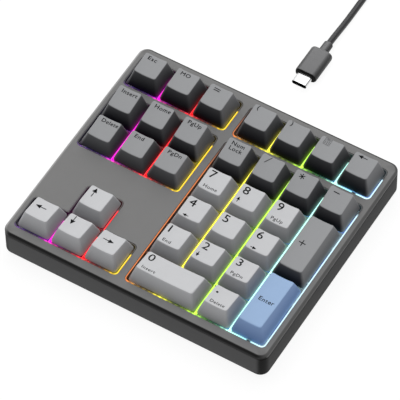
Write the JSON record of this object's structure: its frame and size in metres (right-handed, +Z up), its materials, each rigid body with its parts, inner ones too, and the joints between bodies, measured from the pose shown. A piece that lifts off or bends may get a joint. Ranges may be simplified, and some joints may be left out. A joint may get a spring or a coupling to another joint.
{
  "type": "numeric keypad",
  "caption": "Low slab keypad case with a framed grid of sprung sculpted keys, a rear socket and a detachable cable coiled behind it.",
  "frame": {"origin": "under the middle of the case, on the surface it stands on", "axes": "+Z up, +X to the right along the rows of keys, +Y to the back edge with the socket"},
  "size_m": [0.1482, 0.279, 0.0285],
  "materials": {
    "case": "fine textured dark grey plastic",
    "case_top": "fine textured mid grey plastic",
    "switch_plate": "pale painted steel",
    "circuit_board": "dark solder mask",
    "chip": "black epoxy",
    "connector_metal": "bright plated steel",
    "screw_steel": "zinc plated",
    "rubber": "matt black",
    "plug_body": "moulded dark grey",
    "cable": "soft dark grey jacket",
    "keycap_grey": "fine textured grey",
    "keycap_light": "fine textured pale grey",
    "keycap_blue": "fine textured light blue",
    "legend_ink": "black printed legends",
    "switch_housing": "clear blue-violet switch shells",
    "switch_stem": "purple switch stems",
    "light_guide": "lit diffuser",
    "cable_tie": "black woven strap"
  },
  "bodies": {
    "root": {"bottom_case": "case", "top_frame": "case_top", "switch_plate": "switch_plate", "circuit_board": "circuit_board", "controller_chip": "chip", "usb_port": "connector_metal", "screw_back_left": "screw_steel", "screw_back_right": "screw_steel", "screw_middle_left": "screw_steel", "screw_front_middle": "screw_steel", "foot_front_left": "rubber", "foot_front_right": "rubber", "foot_back_left": "rubber", "foot_back_right": "rubber", "usb_c_shell": "connector_metal", "usb_c_overmold": "plug_body", "cable": "cable", "cable_coil": "cable", "cable_tail": "cable", "usb_a_overmold": "plug_body", "usb_a_shell": "connector_metal"},
    "key_escape": {"key_escape": "keycap_grey"},
    "key_function": {"key_function": "keycap_grey"},
    "key_equals": {"key_equals": "keycap_grey"},
    "key_insert": {"key_insert": "keycap_grey"},
    "key_home": {"key_home": "keycap_grey"},
    "key_page_up": {"key_page_up": "keycap_grey"},
    "key_delete": {"key_delete": "keycap_grey"},
    "key_end": {"key_end": "keycap_grey"},
    "key_page_down": {"key_page_down": "keycap_grey"},
    "key_up": {"key_up": "keycap_light"},
    "key_left": {"key_left": "keycap_light"},
    "key_down": {"key_down": "keycap_light"},
    "key_right": {"key_right": "keycap_light"},
    "key_open_bracket": {"key_open_bracket": "keycap_grey"},
    "key_close_bracket": {"key_close_bracket": "keycap_grey"},
    "key_calculator": {"key_calculator": "keycap_grey"},
    "key_backspace": {"key_backspace": "keycap_grey"},
    "key_num_lock": {"key_num_lock": "keycap_grey"},
    "key_divide": {"key_divide": "keycap_grey"},
    "key_multiply": {"key_multiply": "keycap_grey"},
    "key_minus": {"key_minus": "keycap_grey"},
    "key_7": {"key_7": "keycap_light"},
    "key_8": {"key_8": "keycap_light"},
    "key_9": {"key_9": "keycap_light"},
    "key_plus": {"key_plus": "keycap_grey"},
    "key_4": {"key_4": "keycap_light"},
    "key_5": {"key_5": "keycap_light"},
    "key_6": {"key_6": "keycap_light"},
    "key_1": {"key_1": "keycap_light"},
    "key_2": {"key_2": "keycap_light"},
    "key_3": {"key_3": "keycap_light"},
    "key_enter": {"key_enter": "keycap_blue"},
    "key_0": {"key_0": "keycap_light"},
    "key_point": {"key_point": "keycap_light"},
    "stabiliser_wire_plus": {"stabiliser_wire_plus": "screw_steel"},
    "stabiliser_wire_enter": {"stabiliser_wire_enter": "screw_steel"},
    "stabiliser_wire_0": {"stabiliser_wire_0": "screw_steel"}
  },
  "joints": [
    {"name": "key_escape_press", "type": "slide", "parent": "root", "child": "key_escape", "axis": [0, 0, -1], "range_m": [0, 0.004], "stiffness_N_per_m": 75, "springref_m": -0.004},
    {"name": "key_function_press", "type": "slide", "parent": "root", "child": "key_function", "axis": [0, 0, -1], "range_m": [0, 0.004], "stiffness_N_per_m": 75, "springref_m": -0.004},
    {"name": "key_equals_press", "type": "slide", "parent": "root", "child": "key_equals", "axis": [0, 0, -1], "range_m": [0, 0.004], "stiffness_N_per_m": 75, "springref_m": -0.004},
    {"name": "key_insert_press", "type": "slide", "parent": "root", "child": "key_insert", "axis": [0, 0, -1], "range_m": [0, 0.004], "stiffness_N_per_m": 75, "springref_m": -0.004},
    {"name": "key_home_press", "type": "slide", "parent": "root", "child": "key_home", "axis": [0, 0, -1], "range_m": [0, 0.004], "stiffness_N_per_m": 75, "springref_m": -0.004},
    {"name": "key_page_up_press", "type": "slide", "parent": "root", "child": "key_page_up", "axis": [0, 0, -1], "range_m": [0, 0.004], "stiffness_N_per_m": 75, "springref_m": -0.004},
    {"name": "key_delete_press", "type": "slide", "parent": "root", "child": "key_delete", "axis": [0, 0, -1], "range_m": [0, 0.004], "stiffness_N_per_m": 75, "springref_m": -0.004},
    {"name": "key_end_press", "type": "slide", "parent": "root", "child": "key_end", "axis": [0, 0, -1], "range_m": [0, 0.004], "stiffness_N_per_m": 75, "springref_m": -0.004},
    {"name": "key_page_down_press", "type": "slide", "parent": "root", "child": "key_page_down", "axis": [0, 0, -1], "range_m": [0, 0.004], "stiffness_N_per_m": 75, "springref_m": -0.004},
    {"name": "key_up_press", "type": "slide", "parent": "root", "child": "key_up", "axis": [0, 0, -1], "range_m": [0, 0.004], "stiffness_N_per_m": 75, "springref_m": -0.004},
    {"name": "key_left_press", "type": "slide", "parent": "root", "child": "key_left", "axis": [0, 0, -1], "range_m": [0, 0.004], "stiffness_N_per_m": 75, "springref_m": -0.004},
    {"name": "key_down_press", "type": "slide", "parent": "root", "child": "key_down", "axis": [0, 0, -1], "range_m": [0, 0.004], "stiffness_N_per_m": 75, "springref_m": -0.004},
    {"name": "key_right_press", "type": "slide", "parent": "root", "child": "key_right", "axis": [0, 0, -1], "range_m": [0, 0.004], "stiffness_N_per_m": 75, "springref_m": -0.004},
    {"name": "key_open_bracket_press", "type": "slide", "parent": "root", "child": "key_open_bracket", "axis": [0, 0, -1], "range_m": [0, 0.004], "stiffness_N_per_m": 75, "springref_m": -0.004},
    {"name": "key_close_bracket_press", "type": "slide", "parent": "root", "child": "key_close_bracket", "axis": [0, 0, -1], "range_m": [0, 0.004], "stiffness_N_per_m": 75, "springref_m": -0.004},
    {"name": "key_calculator_press", "type": "slide", "parent": "root", "child": "key_calculator", "axis": [0, 0, -1], "range_m": [0, 0.004], "stiffness_N_per_m": 75, "springref_m": -0.004},
    {"name": "key_backspace_press", "type": "slide", "parent": "root", "child": "key_backspace", "axis": [0, 0, -1], "range_m": [0, 0.004], "stiffness_N_per_m": 75, "springref_m": -0.004},
    {"name": "key_num_lock_press", "type": "slide", "parent": "root", "child": "key_num_lock", "axis": [0, 0, -1], "range_m": [0, 0.004], "stiffness_N_per_m": 75, "springref_m": -0.004},
    {"name": "key_divide_press", "type": "slide", "parent": "root", "child": "key_divide", "axis": [0, 0, -1], "range_m": [0, 0.004], "stiffness_N_per_m": 75, "springref_m": -0.004},
    {"name": "key_multiply_press", "type": "slide", "parent": "root", "child": "key_multiply", "axis": [0, 0, -1], "range_m": [0, 0.004], "stiffness_N_per_m": 75, "springref_m": -0.004},
    {"name": "key_minus_press", "type": "slide", "parent": "root", "child": "key_minus", "axis": [0, 0, -1], "range_m": [0, 0.004], "stiffness_N_per_m": 75, "springref_m": -0.004},
    {"name": "key_7_press", "type": "slide", "parent": "root", "child": "key_7", "axis": [0, 0, -1], "range_m": [0, 0.004], "stiffness_N_per_m": 75, "springref_m": -0.004},
    {"name": "key_8_press", "type": "slide", "parent": "root", "child": "key_8", "axis": [0, 0, -1], "range_m": [0, 0.004], "stiffness_N_per_m": 75, "springref_m": -0.004},
    {"name": "key_9_press", "type": "slide", "parent": "root", "child": "key_9", "axis": [0, 0, -1], "range_m": [0, 0.004], "stiffness_N_per_m": 75, "springref_m": -0.004},
    {"name": "key_plus_press", "type": "slide", "parent": "root", "child": "key_plus", "axis": [0, 0, -1], "range_m": [0, 0.004], "stiffness_N_per_m": 75, "springref_m": -0.004},
    {"name": "key_4_press", "type": "slide", "parent": "root", "child": "key_4", "axis": [0, 0, -1], "range_m": [0, 0.004], "stiffness_N_per_m": 75, "springref_m": -0.004},
    {"name": "key_5_press", "type": "slide", "parent": "root", "child": "key_5", "axis": [0, 0, -1], "range_m": [0, 0.004], "stiffness_N_per_m": 75, "springref_m": -0.004},
    {"name": "key_6_press", "type": "slide", "parent": "root", "child": "key_6", "axis": [0, 0, -1], "range_m": [0, 0.004], "stiffness_N_per_m": 75, "springref_m": -0.004},
    {"name": "key_1_press", "type": "slide", "parent": "root", "child": "key_1", "axis": [0, 0, -1], "range_m": [0, 0.004], "stiffness_N_per_m": 75, "springref_m": -0.004},
    {"name": "key_2_press", "type": "slide", "parent": "root", "child": "key_2", "axis": [0, 0, -1], "range_m": [0, 0.004], "stiffness_N_per_m": 75, "springref_m": -0.004},
    {"name": "key_3_press", "type": "slide", "parent": "root", "child": "key_3", "axis": [0, 0, -1], "range_m": [0, 0.004], "stiffness_N_per_m": 75, "springref_m": -0.004},
    {"name": "key_enter_press", "type": "slide", "parent": "root", "child": "key_enter", "axis": [0, 0, -1], "range_m": [0, 0.004], "stiffness_N_per_m": 75, "springref_m": -0.004},
    {"name": "key_0_press", "type": "slide", "parent": "root", "child": "key_0", "axis": [0, 0, -1], "range_m": [0, 0.004], "stiffness_N_per_m": 75, "springref_m": -0.004},
    {"name": "key_point_press", "type": "slide", "parent": "root", "child": "key_point", "axis": [0, 0, -1], "range_m": [0, 0.004], "stiffness_N_per_m": 75, "springref_m": -0.004},
    {"name": "stabiliser_wire_plus_turn", "type": "hinge", "parent": "root", "child": "stabiliser_wire_plus", "pos_m": [0.0691, -0.00275, 0.0122], "axis": [0, 1, 0], "range_deg": [-28.6, 0]},
    {"name": "stabiliser_wire_enter_turn", "type": "hinge", "parent": "root", "child": "stabiliser_wire_enter", "pos_m": [0.0691, -0.04085, 0.0122], "axis": [0, 1, 0], "range_deg": [-28.6, 0]},
    {"name": "stabiliser_wire_0_turn", "type": "hinge", "parent": "root", "child": "stabiliser_wire_0", "pos_m": [0.01257, -0.05928, 0.0122], "axis": [1, 0, 0], "range_deg": [-28.6, 0]}
  ],
  "couplings": [
    {"joint": "stabiliser_wire_plus_turn", "follows": "key_plus_press", "rad_per_m": -122.49},
    {"joint": "stabiliser_wire_enter_turn", "follows": "key_enter_press", "rad_per_m": -122.49},
    {"joint": "stabiliser_wire_0_turn", "follows": "key_0_press", "rad_per_m": -122.49}
  ]
}
